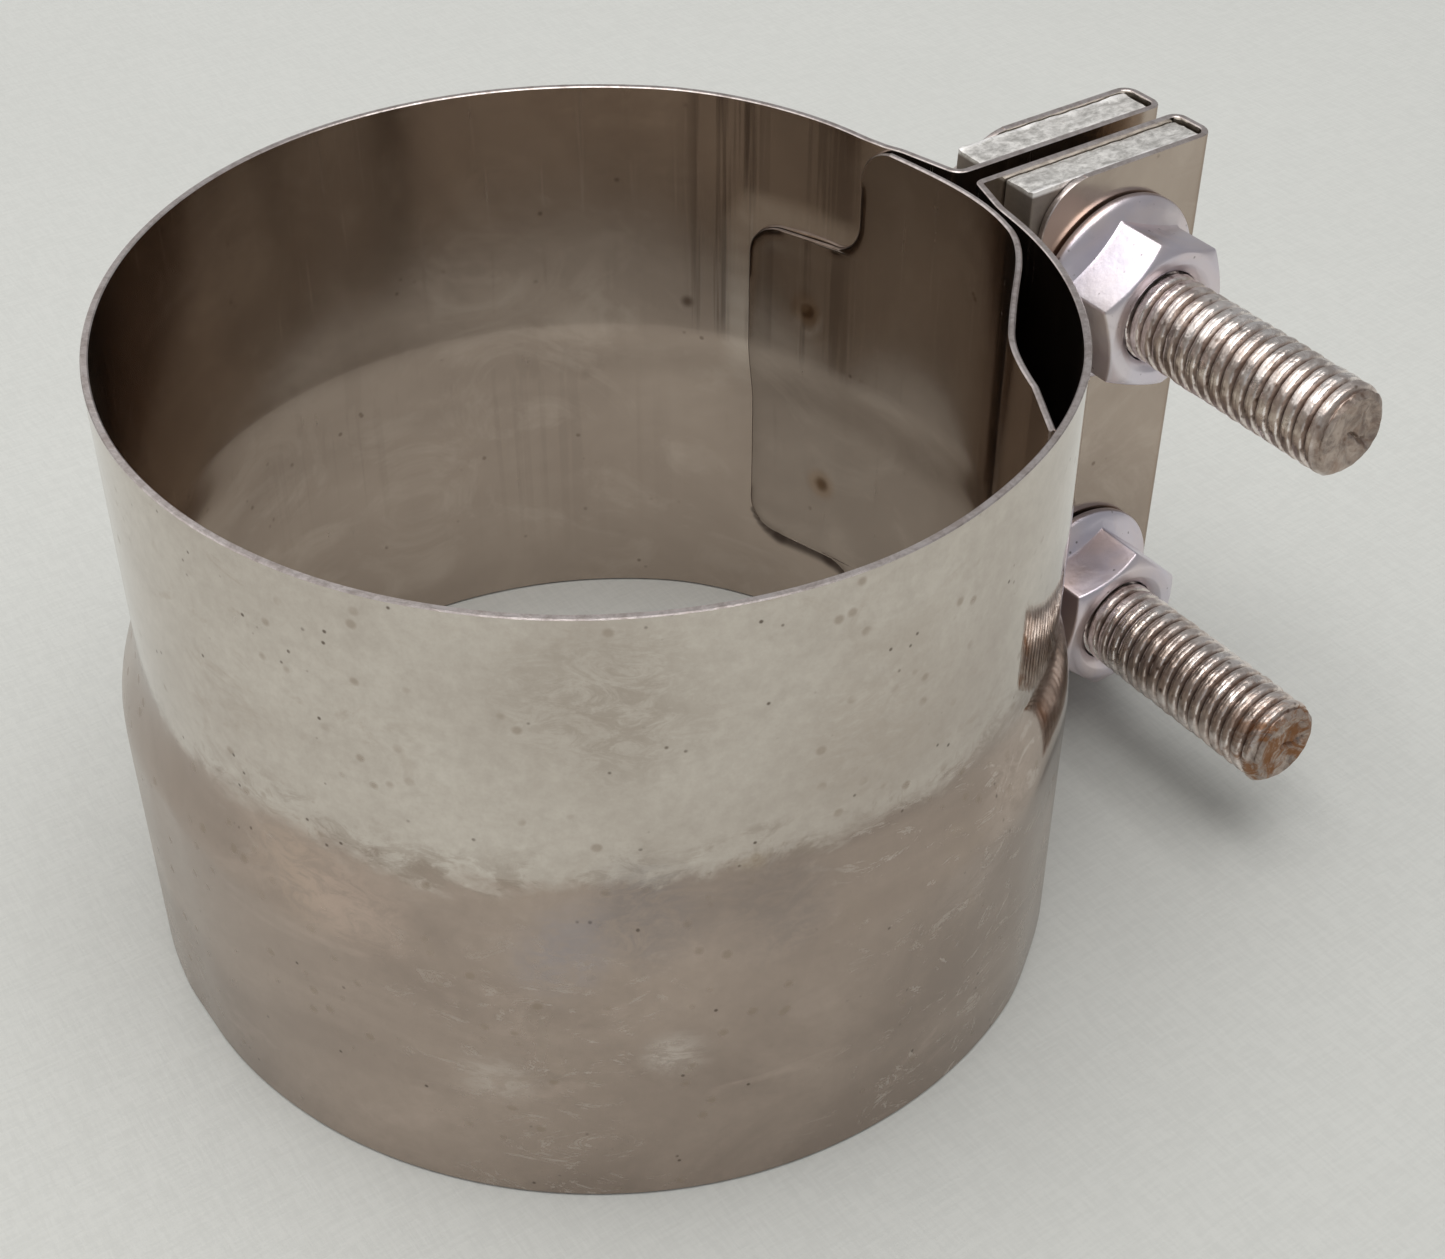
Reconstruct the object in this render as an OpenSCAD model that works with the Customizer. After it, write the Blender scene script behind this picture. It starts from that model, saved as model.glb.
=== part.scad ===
// Stepped band clamp for a lap joint between two pipes.
// Z is the pipe axis, with the base plane at the large end's edge.
// The loops, bars and bolts stand out on +X. The nuts are on the -Y side.

/* [Band] */
// Width of the band along the pipe
band_h = 76.2; // [70:0.1:90]
// Inner radius of the small end, at the top
small_r = 50.8; // [48:0.1:52]
// Inner radius of the large end, at the bottom
large_r = 52.7; // [52.2:0.1:53]
// Sheet thickness of the band
sheet = 0.8; // [0.6:0.05:0.85]
// Height of the cone between the two ends
cone_h = 10; // [6:0.5:16]
// Angle at which the band leaves its sleeve on the welded side
weld_side_a = 42; // [40:1:60]
// Angle at which the band leaves its sleeve on the free side
free_side_a = -64; // [-90:1:-63]

/* [Sleeve] */
// Angle of the sleeve's free edge
sleeve_free_a = -60; // [-61:0.5:-50]
// Angle of the sleeve's edge above and below the welded tab
sleeve_edge_a = 18; // [12:0.5:24]
// Angle of the welded tab's edge
tab_a = 37; // [30:0.5:38]
// Height of the tab's lower edge
tab_z0 = 12; // [8:0.5:20]
// Height of the tab's upper edge
tab_z1 = 60.5; // [50:0.5:68]
// Radius of the tab's corners
tab_corner_r = 3; // [1:0.5:5]

/* [Loops and bars] */
// Distance between the two loops
loop_gap = 2.2; // [1:0.1:4]
// Width of a bar, away from the ring
bar_w = 24; // [22:0.1:26]
// Thickness of a bar
bar_t = 4.76; // [4:0.01:6]
// Distance of the bars from the pipe axis
bar_x0 = 54.5; // [54.5:0.1:57]
// Air left in the loop beyond the bar's outer edge
loop_air = 1.4; // [0.8:0.1:2.5]
// Outer radius of the loops' bends
bend_r = 1.5; // [1:0.1:2]
// Distance of a loop's free edge from the pipe axis
flap_x = 56; // [55.5:0.5:60]
// Radius of the free edge's corners
flap_corner_r = 8; // [3:0.5:12]

/* [Bolts and nuts] */
// Distance between the two bolts
bolt_pitch_z = 45; // [40:0.5:50]
// Distance of the bolts from the pipe axis
bolt_x = 66.4; // [66:0.1:68]
// Thread diameter
bolt_d = 11.11; // [10:0.01:11.2]
// Length under the head
bolt_l = 53.8; // [50:0.1:70]
// Clearance hole through the bars and loops
hole_d = 12.4; // [12:0.1:13]
// Width across the bolt head's flats
head_af = 15.9; // [14:0.1:17]
// Width across the nut's flats
nut_af = 17.2; // [16:0.1:18]
// Height of the nut
nut_h = 9.6; // [8.5:0.1:11]
// Diameter of the flange under a nut or head
flange_d = 23.6; // [21:0.1:24]
// Turn of the upper nut
upper_nut_a = -20.3; // [-60:0.1:60]
// Turn of the lower nut
lower_nut_a = -42.4; // [-60:0.1:60]

/* [Hidden] */
$fn = 96;

// Running gap left between pieces that touch in life
touch = 0.03;
// Gap under a nut or a bolt head, which turns or lifts
seat_gap = 0.25;
// Radial clearance of the thread in its nut
thread_gap = 0.05;
// More than the size of anything it cuts
past = 200;

cone_z0 = (band_h - cone_h) / 2;
cone_z1 = (band_h + cone_h) / 2;
zone_r = sheet + touch;
joggle_a = 1;
loop_x0 = small_r - 2;
front_y = loop_gap / 2;
bar_y0 = front_y + sheet + touch;
bar_y1 = bar_y0 + bar_t;
flap_y0 = bar_y1 + touch;
flap_y1 = flap_y0 + sheet;
end_x0 = bar_x0 + bar_w + loop_air;
end_x1 = end_x0 + sheet;
seat_y = flap_y1 + seat_gap;
lower_z = (band_h - bolt_pitch_z) / 2;
upper_z = (band_h + bolt_pitch_z) / 2;
bolt_end_y = seat_y - bolt_l;
flange_r = flange_d / 2;
flange_rim = 1.4;
flange_h = 3.4;
head_h = 8.6;
end_chamfer = 1.2;
steel = [0.62, 0.59, 0.57];
dull_steel = [0.55, 0.54, 0.53];
zinc = [0.72, 0.71, 0.76];
bolt_steel = [0.58, 0.54, 0.51];

// Stepped solid of revolution, standing off the bore by the distance given
module stepped(off, below, above) {
    rotate_extrude()
        polygon([
            [0, -below],
            [large_r + off, -below],
            [large_r + off, cone_z0],
            [small_r + off, cone_z1],
            [small_r + off, band_h + above],
            [0, band_h + above]
        ]);
}

// Upright wedge between two angles less than half a turn apart
module wedge(a0, a1) {
    mid = (a0 + a1) / 2;
    translate([0, 0, -past / 4])
        linear_extrude(height = past)
            polygon([
                [0, 0],
                past * [cos(a0), sin(a0)],
                past * 1.6 * [cos(mid), sin(mid)],
                past * [cos(a1), sin(a1)]
            ]);
}

// Outside of the ring: close to the pipe all round, and one sheet further out over the sleeve
module ring_outside() {
    union() {
        stepped(sheet, 0, 0);
        intersection() {
            stepped(zone_r + sheet, 0, 0);
            wedge(free_side_a - joggle_a, weld_side_a + joggle_a);
        }
    }
}

// Space inside the ring, for the pipe and the sleeve
module ring_inside() {
    union() {
        stepped(0, 1, 1);
        intersection() {
            stepped(zone_r, 1, 1);
            wedge(free_side_a, weld_side_a);
        }
    }
}

// Plan of a loop on the +Y side: inner run, rounded end and outer run, with the ring to its left
module loop_plan() {
    difference() {
        rounded_bar(loop_x0, end_x1, front_y, flap_y1, bend_r);
        rounded_bar(loop_x0 - 1, end_x0, front_y + sheet, flap_y0, bend_r - sheet);
    }
}

// Rectangle with its two right-hand corners rounded
module rounded_bar(x0, x1, y0, y1, r) {
    union() {
        translate([x0, y0])
            square([x1 - r - x0, y1 - y0]);
        translate([x0, y0 + r])
            square([x1 - x0, y1 - y0 - 2 * r]);
        translate([x1 - r, y0 + r])
            circle(r = r);
        translate([x1 - r, y1 - r])
            circle(r = r);
    }
}

// Elevation of a free edge: a tall plate whose two ring-side corners are rounded
module flap_elevation() {
    union() {
        translate([flap_x + flap_corner_r, 0])
            square([past, band_h]);
        translate([flap_x, flap_corner_r])
            square([past, band_h - 2 * flap_corner_r]);
        for (z = [flap_corner_r, band_h - flap_corner_r])
            translate([flap_x + flap_corner_r, z])
                circle(r = flap_corner_r);
    }
}

// One loop on the +Y side, with its free edge trimmed
module loop() {
    difference() {
        linear_extrude(height = band_h)
            loop_plan();
        difference() {
            translate([0, bar_y1 - 1, -1])
                cube([bar_x0 + bar_w / 2, past, band_h + 2]);
            translate([0, past * 2, 0])
                rotate([90, 0, 0])
                    linear_extrude(height = past * 2)
                        flap_elevation();
        }
    }
}

// Clearance holes for both bolts
module bolt_holes() {
    for (z = [lower_z, upper_z])
        translate([bolt_x, 0, z])
            rotate([90, 0, 0])
                cylinder(d = hole_d, h = past, center = true);
}

module band() {
    color(steel)
        difference() {
            union() {
                ring_outside();
                loop();
                mirror([0, 1, 0])
                    loop();
            }
            ring_inside();
            translate([0, -front_y, -1])
                cube([past, loop_gap, band_h + 2]);
            bolt_holes();
        }
}

// Sleeve: stepped sheet over the gap, with a shorter tab that carries the welds
module gap_sleeve() {
    color(steel)
        difference() {
            intersection() {
                stepped(sheet, 0, 0);
                union() {
                    wedge(sleeve_free_a, sleeve_edge_a);
                    tab_block();
                }
            }
            stepped(0, 1, 1);
        }
}

// Radial block ending at the tab's edge, with that edge's corners rounded
module tab_block() {
    half = (tab_z1 - tab_z0) / 2;
    reach = small_r * (tab_a - sleeve_edge_a + 10) * PI / 180;
    rotate([0, 0, tab_a])
        translate([small_r / 2, 0, tab_z0 + half])
            rotate([90, 0, 90])
                linear_extrude(height = small_r)
                    union() {
                        translate([-reach, -half])
                            square([reach - tab_corner_r, 2 * half]);
                        translate([-reach, tab_corner_r - half])
                            square([reach, 2 * (half - tab_corner_r)]);
                        for (z = [tab_corner_r - half, half - tab_corner_r])
                            translate([-tab_corner_r, z])
                                circle(r = tab_corner_r);
                    }
}

// Flat bar on the +Y side, with its two holes
module bar() {
    difference() {
        translate([bar_x0, bar_y0, 0])
            cube([bar_w, bar_t, band_h]);
        bolt_holes();
    }
}

module front_bar() {
    color(dull_steel)
        mirror([0, 1, 0])
            bar();
}

module rear_bar() {
    color(dull_steel)
        bar();
}

// Flange and hexagon, standing on the seat and pointing along +Z
module flanged_hex(af, h) {
    point_r = af / 2 / cos(30);
    crown_r0 = point_r + 0.3;
    crown_r1 = af / 2 - 0.3;
    crown = (crown_r0 - crown_r1) * tan(30);
    union() {
        cylinder(r = flange_r, h = flange_rim);
        translate([0, 0, flange_rim])
            cylinder(r1 = flange_r, r2 = af / 2, h = flange_h - flange_rim);
        intersection() {
            cylinder(r = point_r, h = h, $fn = 6);
            union() {
                cylinder(r = point_r + 1, h = h - crown);
                translate([0, 0, h - crown])
                    cylinder(r1 = crown_r0, r2 = crown_r1, h = crown);
            }
        }
    }
}

// Nut with a plain bore at the thread's outside diameter
module nut(turn) {
    bore_r = bolt_d / 2 + thread_gap;
    difference() {
        rotate([0, 0, turn])
            flanged_hex(nut_af, nut_h);
        translate([0, 0, -1])
            cylinder(r = bore_r, h = nut_h + 2);
        translate([0, 0, nut_h - 0.8])
            cylinder(r1 = bore_r, r2 = bore_r + 1, h = 1);
    }
}

// Bolt with its head behind the origin and its thread along +Z
module bolt() {
    r = bolt_d / 2;
    union() {
        cylinder(r = r, h = bolt_l - end_chamfer);
        translate([0, 0, bolt_l - end_chamfer])
            cylinder(r1 = r, r2 = r - end_chamfer, h = end_chamfer);
        mirror([0, 0, 1])
            flanged_hex(head_af, head_h);
    }
}

// Places a piece on a bolt axis, its own +Z turned to -Y
module on_axis(y, z) {
    translate([bolt_x, y, z])
        rotate([90, 0, 0])
            children();
}

module upper_bolt() {
    color(bolt_steel)
        on_axis(seat_y, upper_z)
            bolt();
}

module lower_bolt() {
    color(bolt_steel)
        on_axis(seat_y, lower_z)
            bolt();
}

module upper_nut() {
    color(zinc)
        on_axis(-seat_y, upper_z)
            nut(upper_nut_a);
}

module lower_nut() {
    color(zinc)
        on_axis(-seat_y, lower_z)
            nut(lower_nut_a);
}

band();
gap_sleeve();
front_bar();
rear_bar();
upper_bolt();
lower_bolt();
upper_nut();
lower_nut();
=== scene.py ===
"""Looks for the stepped band clamp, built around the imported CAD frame.

Lengths in the shape functions are in millimetres and are scaled to metres when a mesh is made.
The frame's places come from the CAD nodes' boxes. +Z is the pipe axis and +X points at the loops.
"""

from math import atan2, cos, degrees, dist, exp, hypot, pi, radians, sin, sqrt, tan

import bmesh
import bpy
from mathutils import Matrix, Vector, noise


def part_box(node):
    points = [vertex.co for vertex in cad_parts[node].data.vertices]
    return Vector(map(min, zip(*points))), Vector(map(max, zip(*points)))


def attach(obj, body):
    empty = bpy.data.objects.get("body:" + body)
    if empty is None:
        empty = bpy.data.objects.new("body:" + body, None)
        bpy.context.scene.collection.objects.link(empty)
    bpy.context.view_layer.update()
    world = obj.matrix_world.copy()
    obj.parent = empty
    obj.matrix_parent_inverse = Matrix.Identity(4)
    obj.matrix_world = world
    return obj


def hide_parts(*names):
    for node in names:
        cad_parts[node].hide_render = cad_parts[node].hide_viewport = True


MM = 0.001
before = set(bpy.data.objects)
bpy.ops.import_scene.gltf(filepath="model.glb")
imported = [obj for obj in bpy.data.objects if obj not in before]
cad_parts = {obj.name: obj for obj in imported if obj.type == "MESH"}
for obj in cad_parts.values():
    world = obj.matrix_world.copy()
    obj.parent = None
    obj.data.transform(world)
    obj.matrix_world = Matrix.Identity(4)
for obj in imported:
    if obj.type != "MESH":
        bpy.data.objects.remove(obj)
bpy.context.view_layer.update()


def node_box(name):
    """Corners of a CAD node, in millimetres."""
    low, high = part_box(name)
    return [v / MM for v in low], [v / MM for v in high]


band_low, band_high = node_box("band")
bar_low, bar_high = node_box("rear_bar")
nut_low, nut_high = node_box("upper_nut")
low_nut_low, low_nut_high = node_box("lower_nut")
bolt_low, bolt_high = node_box("upper_bolt")

# The band: its height, thickness, outer radius at the small end, and how much wider the large end is.
HEIGHT = band_high[2]
SHEET = 0.8
SMALL_R = 51.35
STEP = 2.1
CONE_LOW, CONE_HIGH = 32.0, 43.6
WIDEST = 53.44  # how far the ring may reach along X or Y inside the CAD box
EDGE = 0.12  # bevel of the sheet's cut edges
CUT_EDGE = 2  # material number of the cut edges
RING_ANGLES = [13.5 + 1.5 * i - (360 if i > 111 else 0) for i in range(224)]
# The loops: middle of the sheet along the gap, along the flap and at the end, and the flap's free edge.
BAR_AIR = 0.03
GAP_Y = bar_low[1] - SHEET - BAR_AIR
RUN_Y = GAP_Y + SHEET / 2
FLAP_Y = bar_high[1] + BAR_AIR + SHEET / 2
LOOP_X = band_high[0] - SHEET / 2
FLAP_X = 54.9
FLAP_CORNER = 6.5
# The bolts and nuts. The heads stand on y=SEAT_Y and the nuts on y=-SEAT_Y.
BOLT_X = (bolt_low[0] + bolt_high[0]) / 2
UPPER_Z = (nut_low[2] + nut_high[2]) / 2
LOWER_Z = (low_nut_low[2] + low_nut_high[2]) / 2
SEAT_Y = -nut_high[1]
HOLE_R = 6.2
PITCH = 25.4 / 14
THREAD_R = 5.56
THREAD_DEPTH = 0.80
NUT_BORE_R = 5.64
# Hexagons on flanges: width across the flats, flange radius and height.
NUT_SIZE = (17.2, 11.75, 9.55)
HEAD_SIZE = (15.9, 11.6, 8.5)


# ---------------------------------------------------------------- small helpers


def clamp01(x):
    return min(1.0, max(0.0, x))


def smooth(a, b, x):
    """Smooth ramp from 0 at a to 1 at b."""
    t = clamp01((x - a) / (b - a))
    return t * t * (3 - 2 * t)


def bell(x, centre, width):
    return exp(-(((x - centre) / width) ** 2))


def waver(x, y, z):
    """Smooth noise between about -1 and 1 at a point."""
    return noise.noise(Vector((x, y, z)))


def make_object(name, verts, faces, sharp=32.0, marks=None):
    """Mesh object from millimetre points, smooth-shaded but sharp over the angle given.

    marks holds a material number for each face."""
    mesh = bpy.data.meshes.new(name)
    mesh.from_pydata([Vector(v) * MM for v in verts], [], faces)
    if marks:
        mesh.polygons.foreach_set("material_index", marks)
    finish_mesh(mesh, sharp)
    obj = bpy.data.objects.new(name, mesh)
    bpy.context.scene.collection.objects.link(obj)
    return obj


def finish_mesh(mesh, sharp):
    """Joins double points, drops empty faces, turns faces outward and sets shading."""
    bm = bmesh.new()
    bm.from_mesh(mesh)
    bmesh.ops.remove_doubles(bm, verts=bm.verts, dist=0.004 * MM)
    bmesh.ops.dissolve_degenerate(bm, edges=bm.edges, dist=0.002 * MM)
    bmesh.ops.recalc_face_normals(bm, faces=bm.faces)
    bm.to_mesh(mesh)
    bm.free()
    mesh.shade_smooth()
    mesh.set_sharp_from_angle(angle=radians(sharp))
    mesh.update()


def cut(obj, cutters, sharp=32.0, operation="DIFFERENCE"):
    """Subtracts the cutter objects, or joins them on, and removes them."""
    for cutter in cutters:
        mod = obj.modifiers.new("cut", "BOOLEAN")
        mod.operation = operation
        mod.solver = "EXACT"
        mod.object = cutter
    bpy.context.view_layer.update()
    graph = bpy.context.evaluated_depsgraph_get()
    mesh = bpy.data.meshes.new_from_object(obj.evaluated_get(graph))
    obj.modifiers.clear()
    old = obj.data
    obj.data = mesh
    bpy.data.meshes.remove(old)
    mesh.name = obj.name
    mesh.shade_smooth()
    mesh.set_sharp_from_angle(angle=radians(sharp))
    for cutter in cutters:
        bpy.data.objects.remove(cutter, do_unlink=True)


def hole_cutters(reach, mark=0, count=64):
    """Closed cylinders on both bolts' axes, from y=-reach to y=reach. They leave faces with the material
    number mark."""
    out = []
    for z in (LOWER_Z, UPPER_Z):
        verts, faces = [], [list(range(count)), list(range(2 * count - 1, count - 1, -1))]
        for y in (-reach, reach):
            for i in range(count):
                a = 2 * pi * i / count
                verts.append((BOLT_X + HOLE_R * cos(a), y, z + HOLE_R * sin(a)))
        for i in range(count):
            j = (i + 1) % count
            faces.append([i, j, count + j, count + i])
        out.append(make_object("hole_cutter", verts, faces, marks=[mark] * len(faces)))
    return out


def round_corner(path, corner, after, radius, count):
    """Adds to path an arc that rounds the corner between its last point and the point after."""
    before = Vector(path[-1])
    corner, after = Vector(corner), Vector(after)
    d0 = (before - corner).normalized()
    d1 = (after - corner).normalized()
    half = d0.angle(d1) / 2
    run = radius / tan(half)
    centre = corner + (d0 + d1).normalized() * (radius / sin(half))
    start, end = corner + d0 * run, corner + d1 * run
    a0 = atan2(start.y - centre.y, start.x - centre.x)
    a1 = atan2(end.y - centre.y, end.x - centre.x)
    turn = (a1 - a0 + pi) % (2 * pi) - pi
    for i in range(count + 1):
        a = a0 + turn * i / count
        path.append((centre.x + radius * cos(a), centre.y + radius * sin(a)))


def line_to(path, end, count):
    """Adds evenly spaced points up to and including the end."""
    x0, y0 = path[-1]
    for i in range(1, count + 1):
        t = i / count
        path.append((x0 + (end[0] - x0) * t, y0 + (end[1] - y0) * t))


# ---------------------------------------------------------------- the band's shape


def wall_point(az, z, r=50.9):
    """Point at an angle, height and radius, in metres."""
    x, y = sheet_point(r, az)
    return (x * MM, y * MM, z * MM)


def step_out(z):
    """How far the wall stands out of the small end's wall at a height."""
    return STEP * (1 - smooth(CONE_LOW, CONE_HIGH, z))


def sheet_point(r, az):
    """Point in plan at a radius and an angle in degrees."""
    a = radians(az)
    return (r * cos(a), r * sin(a))


def ring_outer(az, z):
    """Outer radius of the relaxed ring. It flattens towards the loops and isn't quite round."""
    upper = smooth(30, 46, z)
    small = 1.25 * bell(az, 100, 42 if az < 100 else 38) - 0.45 * smooth(-95, -70, az) * smooth(2, 0, az)
    large = 1.15 * bell(az, 150, 21) - 0.5 * smooth(-66, -54, az) * smooth(2, 0, az)
    r = SMALL_R + step_out(z) + large + (small - large) * upper
    if az > 0:
        r -= 2.95 * clamp01((48 - az) / 31) ** 1.35
    else:
        r -= 1.95 * clamp01((48 + az) / 40) ** 1.3
    a = radians(az)
    sway = 0.09 * waver(cos(a) * 1.6, sin(a) * 1.6, z * 0.03)
    sway += 0.04 * waver(cos(a) * 4.1 + 7, sin(a) * 4.1, z * 0.05)
    r += sway * smooth(12, 26, abs(az))
    return min(r, WIDEST / max(abs(cos(a)), abs(sin(a))))


def flap_end(z):
    """Where the flaps' free edges are at a height: rounded at the top and bottom corners."""
    d = min(z, HEIGHT - z) - 0.1
    if d >= FLAP_CORNER:
        return FLAP_X
    return FLAP_X + FLAP_CORNER - sqrt(max(0.0, FLAP_CORNER ** 2 - (FLAP_CORNER - d) ** 2))


def band_plan(z):
    """Centre line of the band in plan at a height, from the rear flap round to the front flap."""
    out = step_out(z)
    path = [(flap_end(z), FLAP_Y)]
    line_to(path, (LOOP_X - 2.0, FLAP_Y), 26)
    round_corner(path, (LOOP_X, FLAP_Y), (LOOP_X, RUN_Y), 1.6, 8)
    round_corner(path, (LOOP_X, RUN_Y), (FLAP_X, RUN_Y), 1.3, 8)
    line_to(path, (54.6, RUN_Y), 20)
    round_corner(path, (49.5 + 0.9 * out, RUN_Y), (47.3 + out, 10.4), 1.7, 12)
    ring = [sheet_point(ring_outer(az, z) - SHEET / 2, az) for az in RING_ANGLES]
    round_corner(path, (47.55 + out, 9.3), ring[0], 5.0, 8)
    path += ring
    round_corner(path, (48.15 + out, -7.4), (49.9 + 0.9 * out, -RUN_Y), 9.0, 6)
    round_corner(path, (49.95 + 0.9 * out, -RUN_Y), (60.0, -RUN_Y), 0.75, 10)
    line_to(path, (LOOP_X - 2.5, -RUN_Y), 24)
    round_corner(path, (LOOP_X, -RUN_Y), (LOOP_X, -FLAP_Y), 1.3, 8)
    round_corner(path, (LOOP_X, -FLAP_Y), (FLAP_X, -FLAP_Y), 1.6, 8)
    line_to(path, (flap_end(z), -FLAP_Y), 26)
    return path


def heights(extra):
    """Heights of the band's mesh rows, close together at the cone and where extra adds some."""
    rows = {round(HEIGHT * i / 30, 4) for i in range(1, 30)}
    rows |= {round(CONE_LOW - 1 + i * 0.8, 4) for i in range(17)}
    rows |= {round(v, 4) for v in extra}
    rows = sorted(v for v in rows if EDGE + 0.01 < v < HEIGHT - EDGE - 0.01)
    out = [EDGE]
    for v in rows:
        if v - out[-1] > 0.12:
            out.append(v)
    return out + [HEIGHT - EDGE]


def offset_rows(points, t):
    """Two lines, t/2 to either side of a plan line."""
    left, right = [], []
    n = len(points)
    for i, (x, y) in enumerate(points):
        ax, ay = points[max(0, i - 1)]
        bx, by = points[min(n - 1, i + 1)]
        length = hypot(bx - ax, by - ay) or 1.0
        nx, ny = (by - ay) / length, -(bx - ax) / length
        left.append((x + nx * t / 2, y + ny * t / 2))
        right.append((x - nx * t / 2, y - ny * t / 2))
    return left, right


def sheet_mesh(name, plan_at, rows, thickness, edge=EDGE, bump=None):
    """Closed sheet from a plan line at each height, with bevelled edges all round.

    Faces: 0 the left side of the line, 1 its right side, CUT_EDGE the cut edges."""

    def towards(a, b, amount):
        f = amount / (hypot(b[0] - a[0], b[1] - a[1]) or 1.0)
        return (a[0] + (b[0] - a[0]) * f, a[1] + (b[1] - a[1]) * f)

    rings = []
    for z in rows:
        sides = list(offset_rows(plan_at(z), thickness))
        for at, nxt in ((0, 1), (-1, -2)):
            ends = [towards(towards(line[at], line[nxt], -edge), towards(other[at], other[nxt], -edge), edge)
                    for line, other in (sides, sides[::-1])]
            for line, end in zip(sides, ends):
                line.insert(0 if at == 0 else len(line), end)
        rings.append([z, *sides])
    for at, way in ((0, -1), (-1, 1)):
        z, left, right = rings[at]
        rings.insert(0 if at == 0 else len(rings), [
            z + way * edge, [towards(a, b, edge) for a, b in zip(left, right)],
            [towards(b, a, edge) for a, b in zip(left, right)]])

    n, m = len(rings[0][1]), len(rings)
    verts, faces, marks = [], [], []
    for z, *sides in rings:
        for side, line in enumerate(sides):
            for x, y in line:
                if bump:
                    x, y = bump(side, x, y, z)
                verts.append((x, y, z))

    def idx(k, side, i):
        return (k * 2 + side) * n + i

    for k in range(m - 1):
        for i in range(n - 1):
            faces.append([idx(k, 0, i), idx(k, 0, i + 1), idx(k + 1, 0, i + 1), idx(k + 1, 0, i)])
            faces.append([idx(k, 1, i + 1), idx(k, 1, i), idx(k + 1, 1, i), idx(k + 1, 1, i + 1)])
            marks += [CUT_EDGE] * 2 if k in (0, m - 2) or i in (0, n - 2) else [0, 1]
        for i in (0, n - 1):
            faces.append([idx(k, 0, i), idx(k, 1, i), idx(k + 1, 1, i), idx(k + 1, 0, i)])
            marks.append(CUT_EDGE)
    for k in (0, m - 1):
        for i in range(n - 1):
            faces.append([idx(k, 0, i), idx(k, 0, i + 1), idx(k, 1, i + 1), idx(k, 1, i)])
            marks.append(CUT_EDGE)
    return make_object(name, verts, faces, marks=marks)


def build_band():
    """The whole band as one sheet, with its bolt holes. Faces: 0 outer side, 1 inner side, CUT_EDGE."""
    corner = [(FLAP_CORNER + 0.1) * (1 - cos(pi / 2 * i / 12)) for i in range(13)]
    band = sheet_mesh("folded_band", band_plan, heights(corner + [HEIGHT - v for v in corner]), SHEET)
    cut(band, hole_cutters(12, CUT_EDGE))
    return band


# ---------------------------------------------------------------- the gap sleeve

# Angles are in degrees: the two spot welds (with their heights), the welded edge at the tab and at the
# body, where the sleeve leaves the wall to cross the gap, and its free edge.
WELDS = ((25.5, 50.7), (23.4, 24.0))
TAB_AZ, BODY_AZ = 35.4, 16.4
LEAVE_AZ = 18.0
FREE_AZ = -61.2
TAB_LOW, TAB_HIGH = 13.5, 60.6
SLEEVE_T = 0.7
SLEEVE_R = 49.0
SLEEVE_EDGE = 0.17


def sleeve_outline():
    """Heights of the sleeve's rows, each with the angle of its welded edge.

    A tab reaches on from the body between TAB_LOW and TAB_HIGH, with rounded corners."""
    deg = degrees(1 / 50.0)  # degrees round the wall in a millimetre
    rows = []

    def run(z0, z1, az, step):
        count = max(1, round((z1 - z0) / step))
        rows.extend((z0 + (z1 - z0) * i / count, az) for i in range(count + 1))

    def arc(z_middle, az_middle, radius, start, end, count=14):
        """Arc about a middle, from one angle to another, measured from the +az direction."""
        for i in range(count + 1):
            a = radians(start + (end - start) * i / count)
            rows.append((z_middle + radius * sin(a), az_middle + radius * cos(a) * deg))

    inner, low_r, high_r, top_r = 4.6, 4.4, 4.0, 4.8
    lean = 0.15  # the tab's lower and upper edges are crossed in twice this height
    below, above = TAB_LOW - lean - inner, TAB_HIGH + lean + inner
    low, high = TAB_LOW + lean + low_r, TAB_HIGH - lean - high_r
    top = HEIGHT - 5.0
    run(SLEEVE_EDGE, below, BODY_AZ, 1.6)
    arc(below, BODY_AZ + inner * deg, inner, 180, 90)
    arc(low, TAB_AZ - low_r * deg, low_r, -90, 0)
    run(low, high, TAB_AZ, 1.1)
    arc(high, TAB_AZ - high_r * deg, high_r, 0, 90)
    arc(above, BODY_AZ + inner * deg, inner, -90, -180)
    run(above, top, BODY_AZ, 1.2)
    arc(top, BODY_AZ - top_r * deg, top_r, 0, 84)
    out = [rows[0]]
    for z, az in rows[1:]:
        if z - out[-1][0] > 0.02:
            out.append((z, az))
    return out


def bezier(p0, p1, p2, p3, count):
    """Points of a cubic curve after its start, up to and including its end."""
    out = []
    for i in range(1, count + 1):
        t = i / count
        s = 1 - t
        out.append(tuple(s ** 3 * a + 3 * s * s * t * b + 3 * s * t * t * c + t ** 3 * d
                         for a, b, c, d in zip(p0, p1, p2, p3)))
    return out


def sleeve_wall(az, z):
    """Radius of the sleeve's middle where it lies against the band."""
    return ring_outer(az, z) - SHEET - SLEEVE_T / 2 - 0.02


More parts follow.
